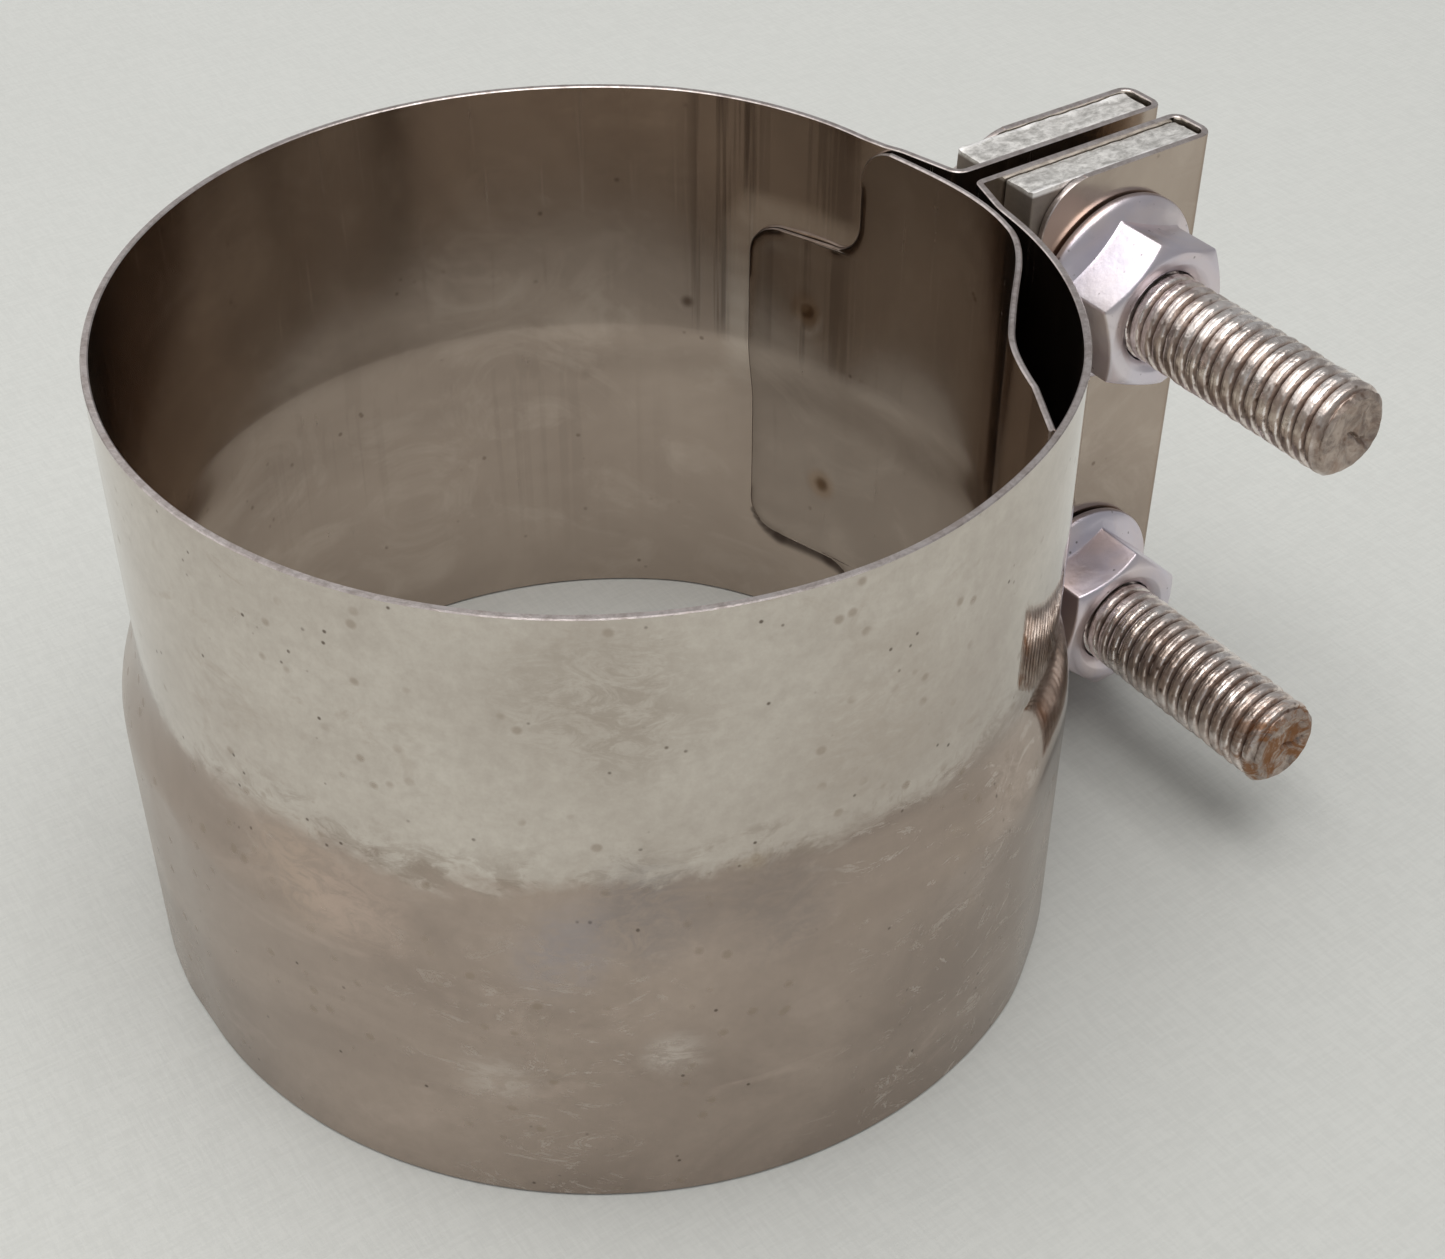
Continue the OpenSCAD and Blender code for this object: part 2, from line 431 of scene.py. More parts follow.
def sleeve_plan(z, edge):
    """Plan of the sleeve's centre line from its welded edge, across the gap, to the free edge.

    Past the gap it is relaxed and bows inwards."""
    out = step_out(z)
    leave = sheet_point(sleeve_wall(LEAVE_AZ, z), LEAVE_AZ)
    before = sheet_point(sleeve_wall(LEAVE_AZ + 1.0, z), LEAVE_AZ + 1.0)
    run = dist(leave, before)
    handle = [a + (a - b) / run * 8.5 for a, b in zip(leave, before)]
    crease = (46.3 + out, -10.6)
    crossing = [leave] + bezier(leave, handle, (48.6 + out, -3.2), crease, 60)
    angles = [degrees(atan2(y, x)) for x, y in crossing]

    def at(az):
        """Point of the path at an angle, on the wall or on the crossing."""
        if az >= LEAVE_AZ:
            return sheet_point(sleeve_wall(az, z), az)
        k = next(i for i, angle in enumerate(angles) if angle <= az)
        f = (angles[k - 1] - az) / (angles[k - 1] - angles[k])
        return tuple(a + (b - a) * f for a, b in zip(crossing[k - 1], crossing[k]))

    points = [at(edge + (9.0 - edge) * i / 40) for i in range(40)]
    points += [at(9.0 + (angles[-1] + 0.01 - 9.0) * i / 26) for i in range(26)] + [crease]
    grow = 1 + out / 47
    for count, *curve in (
        (20, (45.5, -14.2), (42.2, -17.6), (39.4, -20.4)),
        (10, (36.6, -23.2), (35.0, -24.9), (32.6, -27.6)),
        (16, (30.4, -30.1), (29.0, -33.2), (27.6, -37.0)),
    ):
        points += bezier(points[-1], *((x * grow, y * grow) for x, y in curve), count)
    line_to(points, sheet_point(sleeve_wall(FREE_AZ, z) + 0.03, FREE_AZ), 10)
    return points


def build_sleeve():
    """The sleeve as one sheet. Faces: 0 and 1 its two sides, CUT_EDGE."""
    rows = sleeve_outline()
    edge_at = {round(z, 5): az for z, az in rows}
    rim = [(z, radians(az) * SLEEVE_R) for z, az in rows if z < HEIGHT - 5]

    def plan_at(z):
        return sleeve_plan(z, edge_at[round(z, 5)])

    def bump(side, x, y, z):
        """Dimples of the two spot welds, edges rolled over by the shear, a slightly sprung lower edge,
        and faint waves off the band."""
        az = degrees(atan2(y, x))
        r = hypot(x, y)
        d = 0.0
        if side == 0:
            for weld_az, weld_z in WELDS:
                away = hypot(radians(az - weld_az) * SLEEVE_R, z - weld_z)
                d -= 0.08 * smooth(2.4, 1.6, away) - 0.15 * smooth(1.5, 0.8, away)
            if az > BODY_AZ - 3:
                reach = min(hypot(z - row, radians(az) * SLEEVE_R - across) for row, across in rim)
                roll = 0.10 + 0.16 * max(smooth(52, 56, z), smooth(20, 17, z))
                d += roll * max(0.0, 1 - reach / 1.2) ** 2
        d -= 0.04 * waver(x * 0.12, y * 0.12, z * 0.06) * smooth(8, -4, az)
        d -= 0.8 * smooth(TAB_LOW + 7, TAB_LOW, z) * smooth(15, 22, az)
        d -= 0.12 * smooth(TAB_HIGH - 4, TAB_HIGH, z) * smooth(18, 22, az)
        return x * (1 + d / r), y * (1 + d / r)

    return sheet_mesh("bridge_sleeve", plan_at, [z for z, _ in rows], SLEEVE_T, SLEEVE_EDGE, bump)


def painted_shade_under_tab():
    """Painted shadow on the band under the tab's lower edge, where the tab stands off the wall, as marks for
    inner_sheet.
    """
    edge = [(az, z) for z, az in sleeve_outline() if TAB_LOW - 4.0 < z < TAB_LOW + 3.4]
    edge = edge[::2] + [(BODY_AZ + 5.4 + (TAB_AZ - BODY_AZ - 10.2) * i / 7, TAB_LOW) for i in range(8)]
    out = []
    for az, z in edge:
        wide = smooth(TAB_AZ + 0.5, TAB_AZ - 5, az) * smooth(BODY_AZ - 1, BODY_AZ + 4, az)
        place = wall_point(az, z - 1.5, ring_outer(az, z) - SHEET)
        out.append((place, 0.0004, (0.8 + 1.0 * wide) * MM, 0.7, (0.06, 0.042, 0.036)))
    return out


def weld_halo():
    """Pale heat mark on the band along the tab's upper and far edges, as marks for inner_sheet."""
    edge = [(BODY_AZ + 2.5 + (TAB_AZ - BODY_AZ - 3) * i / 5, TAB_HIGH + 1.0, 0.42) for i in range(6)]
    edge += [(TAB_AZ + 1.3, TAB_HIGH - 1.6 - 3.0 * i, 0.34 - 0.04 * i) for i in range(8)]
    return [(wall_point(az, z, ring_outer(az, z) - SHEET), 0.0014, 0.0040, amount, (0.96, 0.89, 0.81))
            for az, z, amount in edge]


# ---------------------------------------------------------------- bars


def build_bar(name, side, seed):
    """Sheared flat bar with worn edges, rough sheared ends and two holes.

    side is the sign of its Y. It is a little wider than the CAD bar, to fill the loop as a real one does."""
    low = (53.5, bar_low[1] + 0.01, 0.15)
    high = (79.4, bar_high[1] - 0.01, HEIGHT - 0.3)
    count = (42, 14, 40)  # steps along X, Y and Z, closer together near the faces in Y
    round_off = 0.34
    verts, index, faces = [], {}, []

    def vert(*at):
        if at in index:
            return index[at]
        p = Vector([a + (b - a) * u / n for a, b, u, n in zip(low, high, at, count)])
        p.y = low[1] + (high[1] - low[1]) * (0.5 - 0.5 * cos(pi * at[1] / count[1]))
        inner = Vector([min(max(v, a + round_off), b - round_off) for v, a, b in zip(p, low, high)])
        away = p - inner
        if away.length > round_off:
            p = inner + away.normalized() * round_off
        if at[2] in (0, count[2]):
            way = 1 if at[2] else -1
            across = (p.y - low[1]) / (high[1] - low[1])
            rough = 0.11 * waver(p.x * 0.5 + seed, p.y * 1.9, 3.0)
            rough += 0.06 * waver(p.x * 2.1, p.y * 3.1 + seed, 1.0)
            burr = 0.16 * smooth(0.82, 0.97, across) - 0.12 * smooth(0.35, 0.05, across)
            p.z += way * (rough + burr - 0.12)
        elif at[0] in (0, count[0]):
            p.x -= (1 if at[0] else -1) * abs(0.07 * waver(p.y * 0.7 + seed, p.z * 0.35, 5.0))
        index[at] = len(verts)
        verts.append((p.x, p.y * side, p.z))
        return index[at]

    for axis in range(3):
        u, v = [a for a in range(3) if a != axis]
        for end in (0, count[axis]):
            for i in range(count[u]):
                for j in range(count[v]):
                    face = []
                    for di, dj in ((0, 0), (1, 0), (1, 1), (0, 1)):
                        at = [0, 0, 0]
                        at[axis], at[u], at[v] = end, i + di, j + dj
                        face.append(vert(*at))
                    faces.append(face)
    bar = make_object(name, verts, faces, sharp=38)
    cut(bar, hole_cutters(20), sharp=38)
    return bar


# ---------------------------------------------------------------- nuts and bolts


def hex_outline(across, corner_r, turn):
    """Rounded hexagon, across wide over its flats, as (angle, radius) pairs."""
    inner = across / 2 / cos(pi / 6) - corner_r / cos(pi / 6)
    out = []

    def corner_point(corner, a):
        base = turn + corner * pi / 3
        return tuple(inner * fn(base) + corner_r * fn(base + a) for fn in (cos, sin))

    for k in range(6):
        points = [corner_point(k, -pi / 6 + pi / 3 * i / 6) for i in range(7)]
        (ax, ay), (bx, by) = corner_point(k, pi / 6), corner_point(k + 1, -pi / 6)
        points += [(ax + (bx - ax) * i / 14, ay + (by - ay) * i / 14) for i in range(1, 14)]
        out += [(atan2(y, x), hypot(x, y)) for x, y in points]
    return out


def flanged_hex(z, sense, size, turn, bore, seed):
    """Hexagon on a flange about a bolt's axis, standing on the plane y=sense*SEAT_Y and pointing away.

    With a bore it is a nut, and without one it is a bolt's head."""
    across, flange_r, tall = size
    outline = hex_outline(across, 0.45, turn)
    n = len(outline)
    rim = 1.25
    face_r = across / 2 - 0.35
    slope = tan(radians(30))
    rise = tan(radians(24))

    def on_flange(r, lift=0.0):
        return r, rim + (flange_r - r) * rise + lift

    def on_chamfer(r, r_slope, drop=0.0):
        return r, tall - (r_slope - face_r) * slope - drop

    # Each ring gives (radius, height) from the hexagon's radius r.
    rings = [
        lambda r: ((bore + 0.7) if bore else THREAD_R, 0.0),
        lambda r: (flange_r - 0.35, 0.0),
        lambda r: (flange_r - 0.08, 0.12),
        lambda r: (flange_r, 0.4),
        lambda r: (flange_r, rim - 0.4),
        lambda r: (flange_r - 0.12, rim - 0.12),
        lambda r: on_flange(flange_r - 0.45, -0.02),
        lambda r: on_flange(flange_r * 0.45 + (r + 0.5) * 0.55),
        lambda r: on_flange(r + 0.5),
        lambda r: on_flange(r + 0.14, 0.06),
        lambda r: on_flange(r, 0.45),
        lambda r: on_chamfer(r, r, 0.22),
        lambda r: on_chamfer(r - 0.07, r, 0.05),
        lambda r: on_chamfer(r - 0.22, r - 0.22),
    ]
    if bore:
        rings += [
            lambda r: on_chamfer(face_r * 0.55 + (r - 0.22) * 0.45, face_r * 0.55 + (r - 0.22) * 0.45),
            lambda r: (face_r, tall - 0.03),
            lambda r: (face_r - 0.25, tall),
            lambda r: (bore + 1.35, tall),
            lambda r: (bore + 1.1, tall - 0.06),
            lambda r: (bore + 0.05, tall - 0.85),
            lambda r: (bore, tall - 1.0),
            lambda r: (bore, 0.7),
            rings[0],
        ]
    else:
        rings += [
            lambda r: (face_r, tall - 0.03),
            lambda r: (face_r - 0.4, tall),
            lambda r: (face_r - 1.2, tall),
            lambda r: (face_r - 1.9, tall - 0.35),
            lambda r: (1.5, tall - 0.4),
            lambda r: (0.02, tall - 0.4),
        ]
    verts, faces = [], []
    for ring in rings:
        for a, hex_r in outline:
            r, h = ring(hex_r)
            if r > bore + 1.6:
                r += 0.03 * waver(cos(a) * 2 + seed, sin(a) * 2, h * 0.7)
            verts.append((BOLT_X + r * cos(a), sense * (SEAT_Y + h), z + r * sin(a)))
    for k in range(len(rings) - 1):
        for i in range(n):
            j = (i + 1) % n
            faces.append([k * n + i, k * n + j, (k + 1) * n + j, (k + 1) * n + i])
    return verts, faces, n


def thread_radius(h, a):
    """Radius of the rolled thread: broad rounded crests with a faint seam, and narrow roots."""
    u = abs((h / PITCH - a / (2 * pi)) % 1.0 - 0.5) * 2
    if u < 0.58:
        down = 0.10 * (u / 0.58) ** 2 + 0.05 * bell(u, 0.0, 0.10)
    else:
        down = 0.10 + 0.90 * smooth(0.58, 0.92, u)
    return THREAD_R - THREAD_DEPTH * down


def end_face(px, pz, share, turn, seed):
    """How far the bolt's rough end is sunk at a point. share is 1 at its rim and 0 at its middle."""
    across = -px * sin(turn) + pz * cos(turn)
    along = px * cos(turn) + pz * sin(turn)
    wide = 0.17 + 0.05 * max(0.0, along)
    dent = 0.60 * bell(across, 0.10 * sin(along * 2.5), wide) * smooth(-1.0, 0.3, along)
    dent -= 0.16 * bell(across, -0.55, 0.3) * smooth(-0.5, 1.0, along)
    dent += 0.24 * smooth(-0.1, 0.9, across) * smooth(-2.5, 1.5, along)
    dent += 0.26 * waver(px * 0.55 + seed, pz * 0.55, 0.0)
    dent += 0.13 * waver(px * 1.5 + seed, pz * 1.5, 2.0) + 0.18
    return max(0.0, dent) * smooth(0.0, 0.2, 1 - share)


def build_bolt(name, z, seed, groove):
    """Bolt along -Y: thread, rough chamfered end and flanged hexagon head behind the rear loop.

    groove is the angle of the dent across its end."""
    end = bolt_low[1] + 0.05
    around, levels, chamfer = 112, 18, 1.1
    start = SEAT_Y + 0.1
    length = start - end
    verts, faces = [], []
    steps = int(length / 0.11)
    for k in range(steps + 1):
        h = length * k / steps
        for i in range(around):
            a = 2 * pi * i / around
            r = thread_radius(h, a)
            worn = waver(cos(a) * 1.5 + seed, sin(a) * 1.5, h * 0.35)
            fine = waver(cos(a) * 4.6 + seed, sin(a) * 4.6, h * 1.1)
            r += (0.07 * worn + 0.09 * fine) * (1.0 if r > THREAD_R - 0.35 else 0.4) - 0.07
            over = h - (length - chamfer)
            if over > 0:
                r = min(r, THREAD_R - 0.08 - over * 0.75 - 0.25 * over * over / chamfer + 0.16 * fine)
            if h < 2.0:
                r = THREAD_R - 0.5 * THREAD_DEPTH
            verts.append((BOLT_X + r * cos(a), start - h, z + r * sin(a)))
    for k in range(steps):
        for i in range(around):
            j = (i + 1) % around
            faces.append([k * around + i, k * around + j, (k + 1) * around + j, (k + 1) * around + i])
    rim = steps * around
    for level in range(1, levels):
        share = 1 - level / levels
        for i in range(around):
            x0, _, z0 = verts[rim + i]
            px, pz = (x0 - BOLT_X) * share, (z0 - z) * share
            verts.append((BOLT_X + px, end + end_face(px, pz, share, groove, seed), z + pz))
            j = (i + 1) % around
            last = rim + (level - 1) * around
            faces.append([last + i, last + j, last + around + j, last + around + i])
    last = rim + (levels - 1) * around
    for point, ring in (((BOLT_X, end + end_face(0, 0, 0, groove, seed), z), last), ((BOLT_X, start, z), 0)):
        verts.append(point)
        for i in range(around):
            faces.append([ring + i, ring + (i + 1) % around, len(verts) - 1])
    shank = make_object(f"{name}_shank", verts, faces, sharp=50)

    head_verts, head_faces, count = flanged_hex(z, 1.0, HEAD_SIZE, radians(11 + 7 * seed), 0.0, seed)
    for height, ring in ((0.0, 0), (HEAD_SIZE[2] - 0.4, len(head_verts) - count)):
        head_verts.append((BOLT_X, SEAT_Y + height, z))
        for i in range(count):
            head_faces.append([ring + (i + 1) % count, ring + i, len(head_verts) - 1])
    bolt = make_object(name, head_verts, head_faces, sharp=28)
    cut(bolt, [shank], sharp=42, operation="UNION")
    return bolt


def build_nut(name, z, turn, seed):
    """Flange nut on the front loop. turn is the angle of its hexagon at rest."""
    verts, faces, _ = flanged_hex(z, -1.0, NUT_SIZE, turn, NUT_BORE_R, seed)
    return make_object(name, verts, faces, sharp=26)


# ---------------------------------------------------------------- materials


class Nodes:
    """Short way to lay out a material's nodes. A value is a number, a tuple or another node's output."""

    def __init__(self, name):
        self.mat = bpy.data.materials.new(name)
        self.mat.use_nodes = True
        self.tree = self.mat.node_tree
        self.tree.nodes.clear()
        out = self.add("ShaderNodeOutputMaterial")
        self.bsdf = self.add("ShaderNodeBsdfPrincipled")
        self.fill(out, {"Surface": self.bsdf.outputs[0]})
        self.place = self.add("ShaderNodeTexCoord").outputs["Object"]

    def add(self, kind, **values):
        node = self.tree.nodes.new(kind)
        for key, value in values.items():
            setattr(node, key, value)
        return node

    def fill(self, node, values):
        """Sets a node's inputs, by name or number, or links them to other nodes' outputs."""
        for key, value in values.items():
            socket = node.inputs[key]
            if isinstance(value, tuple):
                socket.default_value = (*value, 1.0) if socket.type == "RGBA" else value
            elif isinstance(value, (int, float)):
                socket.default_value = value
            elif value is not None:
                self.tree.links.new(value, socket)
        return node.outputs

    def scaled(self, *factors):
        return self.fill(self.add("ShaderNodeMapping"), {"Vector": self.place, "Scale": factors})[0]

    def noise(self, scale, detail=4.0, rough=0.55, distort=0.0, source=None, output="Fac"):
        return self.fill(self.add("ShaderNodeTexNoise"), {
            "Scale": scale, "Detail": detail, "Roughness": rough, "Distortion": distort,
            "Vector": source or self.place})[output]

    def cells(self, scale):
        return self.fill(self.add("ShaderNodeTexVoronoi"), {"Vector": self.place, "Scale": scale})["Distance"]

    def ramp(self, fac, stops):
        node = self.add("ShaderNodeValToRGB")
        for item, (at, value) in zip(node.color_ramp.elements, stops):
            item.position = at
            item.color = (value, value, value, 1.0)
        return self.fill(node, {"Fac": fac})[0]

    def rise(self, fac, low, high):
        """0 where the value is below low and 1 where it is above high."""
        return self.ramp(fac, [(low, 0.0), (high, 1.0)])

    def flecks(self, scale, inner, outer, mask, low, high):
        """Small spots, only where the mask is high."""
        spots = self.ramp(self.cells(scale), [(inner, 1.0), (outer, 0.0)])
        return self.times(spots, self.rise(mask, low, high))

    def span(self, value, a, b, c, d, kind="LINEAR"):
        """Maps a..b to c..d."""
        return self.fill(self.add("ShaderNodeMapRange", interpolation_type=kind), {
            "Value": value, "From Min": a, "From Max": b, "To Min": c, "To Max": d})["Result"]

    def math(self, op, a, b=None, clamp=False):
        return self.fill(self.add("ShaderNodeMath", operation=op, use_clamp=clamp), {0: a, 1: b})[0]

    def times(self, a, b):
        return self.math("MULTIPLY", a, b)

    def plus(self, a, b, clamp=False):
        return self.math("ADD", a, b, clamp)

    def invert(self, a):
        return self.math("SUBTRACT", 1.0, a)

    def vector(self, op, *values):
        """Vector maths. The result is a number for LENGTH and DISTANCE."""
        outputs = self.fill(self.add("ShaderNodeVectorMath", operation=op), dict(enumerate(values)))
        return outputs["Value" if op in ("LENGTH", "DISTANCE") else "Vector"]

    def mix(self, fac, a, b, blend="MIX"):
        node = self.add("ShaderNodeMix", data_type="RGBA", blend_type=blend)
        return self.fill(node, {0: fac, 6: a, 7: b})[2]

    def axis(self, name):
        return self.fill(self.add("ShaderNodeSeparateXYZ"), {0: self.place})[name]

    def near(self, point, inner, outer, source=None):
        """1 inside a ball of radius inner about a point in metres, falling to 0 at outer."""
        away = self.vector("DISTANCE", source or self.place, point)
        return self.span(away, inner, outer, 1.0, 0.0, "SMOOTHSTEP")

    def bump(self, height, strength, distance, normal=None):
        return self.fill(self.add("ShaderNodeBump"), {
            "Strength": strength, "Distance": distance, "Height": height, "Normal": normal})[0]

    def done(self, color, rough, normal, metallic=1.0):
        values = {"Base Color": color, "Roughness": rough, "Normal": normal, "Metallic": metallic}
        self.fill(self.bsdf, values)
        return self.mat


def outer_sheet():
    """Outer side: bright greyish roll finish above, brown heat tarnish with wiped smears on the large end."""
    n = Nodes("band_outer_side")
    # low is 1 on the tarnished large end, with a ragged edge at the cone
    smear = n.noise(26, 6, 0.62, 1.3, n.scaled(1, 1, 2.6))
    ragged = n.noise(150, 5, 0.7, 0.8, n.scaled(1, 1, 2.0))
    edge = n.plus(n.axis("Z"), n.times(n.math("SUBTRACT", smear, 0.5), 0.014))
    edge = n.plus(edge, n.times(n.math("SUBTRACT", ragged, 0.5), 0.006))
    low = n.span(edge, 0.0425, 0.0465, 1.0, 0.0, "SMOOTHSTEP")

    cloud = n.noise(30, 5, 0.6, 0.6)
    pale = n.mix(n.rise(cloud, 0.36, 0.66), (0.70, 0.645, 0.58), (0.56, 0.50, 0.443))
    warm = n.noise(19, 5, 0.6, 1.2, n.scaled(1, 1, 1.8))
    brown = n.mix(n.rise(warm, 0.36, 0.62), (0.475, 0.39, 0.332), (0.355, 0.288, 0.245))
    blush = n.rise(n.noise(38, 4, 0.6, 1.5, n.scaled(1, 1, 2.2)), 0.60, 0.70)
    brown = n.mix(n.times(blush, 0.4), brown, (0.58, 0.475, 0.41))
    color = n.mix(low, pale, brown)

    # pale wiped smears on the tarnish, dirt along its edge, and a fine dark grain
    wipe = n.noise(100, 8, 0.8, 2.2, n.scaled(1, 1, 2.2))
    wiped = n.times(n.rise(wipe, 0.565, 0.60), n.rise(n.noise(17, 2), 0.42, 0.54))
    color = n.mix(n.times(n.times(wiped, low), 0.6), color, (0.64, 0.575, 0.52))
    dirt = n.times(n.times(low, n.invert(low)), 4.0)
    above = n.span(edge, 0.0435, 0.0505, 1.0, 0.0, "SMOOTHSTEP")
    dirt = n.math("MAXIMUM", dirt, n.times(above, n.invert(low)))
    dirt = n.times(dirt, n.rise(n.noise(150, 7, 0.75, 1.2, n.scaled(1, 1, 1.8)), 0.50, 0.58))
    color = n.mix(n.times(dirt, 0.55), color, (0.30, 0.235, 0.185))
    color = n.mix(n.ramp(n.noise(620, 5, 0.75), [(0.36, 0.0), (0.66, 0.22)]), color, (0.30, 0.25, 0.21))

    freckles = n.flecks(330, 0.12, 0.22, n.noise(95, 2), 0.50, 0.57)
    color = n.mix(n.times(freckles, 0.55), color, (0.34, 0.27, 0.21))
    smudge = n.rise(n.noise(75, 6, 0.7, 1.6, n.scaled(1, 1, 1.7)), 0.56, 0.66)
    smudge = n.times(smudge, n.rise(n.noise(21, 2), 0.44, 0.60))
    color = n.mix(n.times(smudge, 0.40), color, (0.42, 0.345, 0.28))
    pits = n.flecks(560, 0.07, 0.15, n.noise(170, 1), 0.58, 0.62)
    color = n.mix(n.times(pits, 0.85), color, (0.12, 0.09, 0.07))

    # single patches: angle, height, inner and outer radius in metres, amount and tint
    stray = n.noise(110, 4, 0.5, 0.0, None, "Color")
    wander = n.vector("MULTIPLY_ADD", stray, (0.008, 0.008, 0.006), n.place)
    astray = n.vector("SUBTRACT", wander, (0.004, 0.004, 0.003))
    broken = n.ramp(n.noise(210, 7, 0.8, 1.4, n.scaled(1, 1, 2.0)), [(0.43, 0.30), (0.55, 1.0)])
    for az, height, inner, outer, amount, tint in (
        (-106.5, 44.3, 0.0009, 0.0027, 0.45, (0.44, 0.33, 0.20)),
        # the next two darken the cone's middle: painted shade for the darker reflection of the slanted cone
        (-118, 41.0, 0.002, 0.009, 0.55, (0.27, 0.24, 0.235)),
        (-104, 39.0, 0.002, 0.009, 0.50, (0.28, 0.24, 0.22)),
        (-77, 29.0, 0.001, 0.008, 0.35, (0.60, 0.51, 0.45)),
        (-70, 36.0, 0.001, 0.008, 0.45, (0.62, 0.52, 0.455)),
        (-66, 44.0, 0.001, 0.006, 0.40, (0.64, 0.54, 0.48)),
        (-126, 38.0, 0.001, 0.006, 0.38, (0.35, 0.33, 0.36)),
        (-128, 34.5, 0.001, 0.006, 0.30, (0.35, 0.33, 0.36)),
        (-157, 39.0, 0.001, 0.009, 0.6, (0.60, 0.47, 0.38)),
        (-150, 37.5, 0.001, 0.008, 0.5, (0.64, 0.50, 0.42)),
        (-114.5, 21.5, 0.0004, 0.0046, 0.75, (0.68, 0.61, 0.55)),
        (-134.5, 18.0, 0.0004, 0.0056, 0.7, (0.66, 0.59, 0.53)),
        (-121, 66.0, 0.002, 0.014, 0.72, (0.42, 0.36, 0.305)),
        (-92, 57.0, 0.003, 0.013, 0.45, (0.47, 0.40, 0.34)),
    ):
        patch = n.times(n.near(wall_point(az, height, 52), inner, outer, astray), broken)
        color = n.mix(n.times(patch, amount), color, tint)

    # hair lines along and round the pipe; smoother where it mirrors the upper bolt
    upright = n.rise(n.noise(1000, 3, 0.6, 0.2, n.scaled(1, 1, 0.03)), 0.62, 0.69)
    level = n.rise(n.noise(900, 3, 0.6, 0.3, n.scaled(0.05, 0.05, 1)), 0.63, 0.72)
    rough = n.span(n.noise(44, 6, 0.7, 0.8), 0.3, 0.75, 0.10, 0.19)
    rough = n.plus(n.plus(rough, n.times(low, 0.10)), n.times(wiped, 0.10))
    rough = n.times(rough, n.invert(n.times(n.near(wall_point(-45, 52, 52), 0.018, 0.032), 0.6)))
    rough = n.plus(rough, n.times(freckles, 0.10), True)
    height = n.plus(n.times(upright, -0.4), n.times(level, -0.4))
    normal = n.bump(height, 0.08, 0.00004)
    normal = n.bump(n.noise(80, 3, 0.5, 0.3), 0.05, 0.0005, normal)
    normal = n.bump(pits, -0.5, 0.00008, normal)
    return n.done(color, rough, normal)


def inner_sheet(name, shade, marks):
    """Inner side: dull taupe tarnish with upright roll streaks, strongest at two angles.

    shade scales the tarnish's colour: painted light, lighter for the band's inner side and darker for the
    sleeve. marks are (place, inner, outer, amount, tint), in metres."""
    n = Nodes(name)
    cloud = n.noise(22, 5, 0.6, 0.9)
    stain = n.noise(48, 6, 0.7, 1.4, n.scaled(1, 1, 1.6))
    color = n.mix(n.rise(cloud, 0.34, 0.66), (0.48, 0.405, 0.345), (0.375, 0.31, 0.262))
    color = n.mix(n.times(n.rise(stain, 0.50, 0.66), 0.4), color, (0.56, 0.485, 0.42))
    streak = n.rise(n.noise(420, 3, 0.6, 0.0, n.scaled(1, 1, 0.02)), 0.52, 0.58)
    beside = n.vector("MULTIPLY", n.place, (1, 1, 0))
    drawn = n.near(wall_point(39.5, 0), 0.0025, 0.006, beside)
    drawn = n.plus(drawn, n.times(n.near(wall_point(25, 0), 0.005, 0.009, beside), 0.5))
    drawn = n.times(drawn, n.span(n.axis("Z"), 0.042, 0.046, 0.0, 1.0))
    drawn = n.plus(drawn, n.ramp(n.noise(16, 2), [(0.55, 0.0), (0.70, 0.14)]), True)
    color = n.mix(n.times(n.times(streak, drawn), 0.8), color, (0.15, 0.115, 0.095))
    # Painted light: the whole tarnish is scaled by shade, giving lit and shaded copies of it.
    color = n.mix(1.0, color, (shade, shade, shade), "MULTIPLY")
    specks = n.flecks(420, 0.08, 0.17, n.noise(130, 2), 0.58, 0.64)
    color = n.mix(n.times(specks, 0.6), color, (0.17, 0.12, 0.09))
    for place, inner, outer, amount, tint in marks:
        color = n.mix(n.times(n.near(place, inner, outer), amount), color, tint)
    upright = n.rise(n.noise(1000, 3, 0.6, 0.2, n.scaled(1, 1, 0.03)), 0.60, 0.68)
    rough = n.span(n.noise(40, 6, 0.7, 0.8), 0.3, 0.75, 0.15, 0.25)
    rough = n.plus(rough, n.times(upright, 0.06), True)
    normal = n.bump(upright, -0.10, 0.00004)
    normal = n.bump(n.noise(80, 3, 0.5, 0.3), 0.05, 0.0005, normal)
    n.fill(n.bsdf, {"Specular Tint": (0.62, 0.56, 0.52)})
    return n.done(color, rough, normal)


def cut_edge(name, dark):
    """Bright sheared edge of the sheet, with small nicks. dark is how much darker brown it is below the rim,
    partly tarnish and partly painted shade along the sleeve's tab.
    """
    n = Nodes(name)
    nick = n.noise(650, 4, 0.7, 0.3)
    color = n.mix(n.rise(nick, 0.40, 0.64), (0.74, 0.665, 0.64), (0.46, 0.395, 0.37))
    below = n.span(n.axis("Z"), HEIGHT * MM - 0.002, HEIGHT * MM - 0.001, dark, 0.0)
    color = n.mix(below, color, (0.17, 0.12, 0.095))
    rough = n.span(nick, 0.3, 0.7, 0.28, 0.42)
    return n.done(color, rough, n.bump(nick, 0.5, 0.00012))


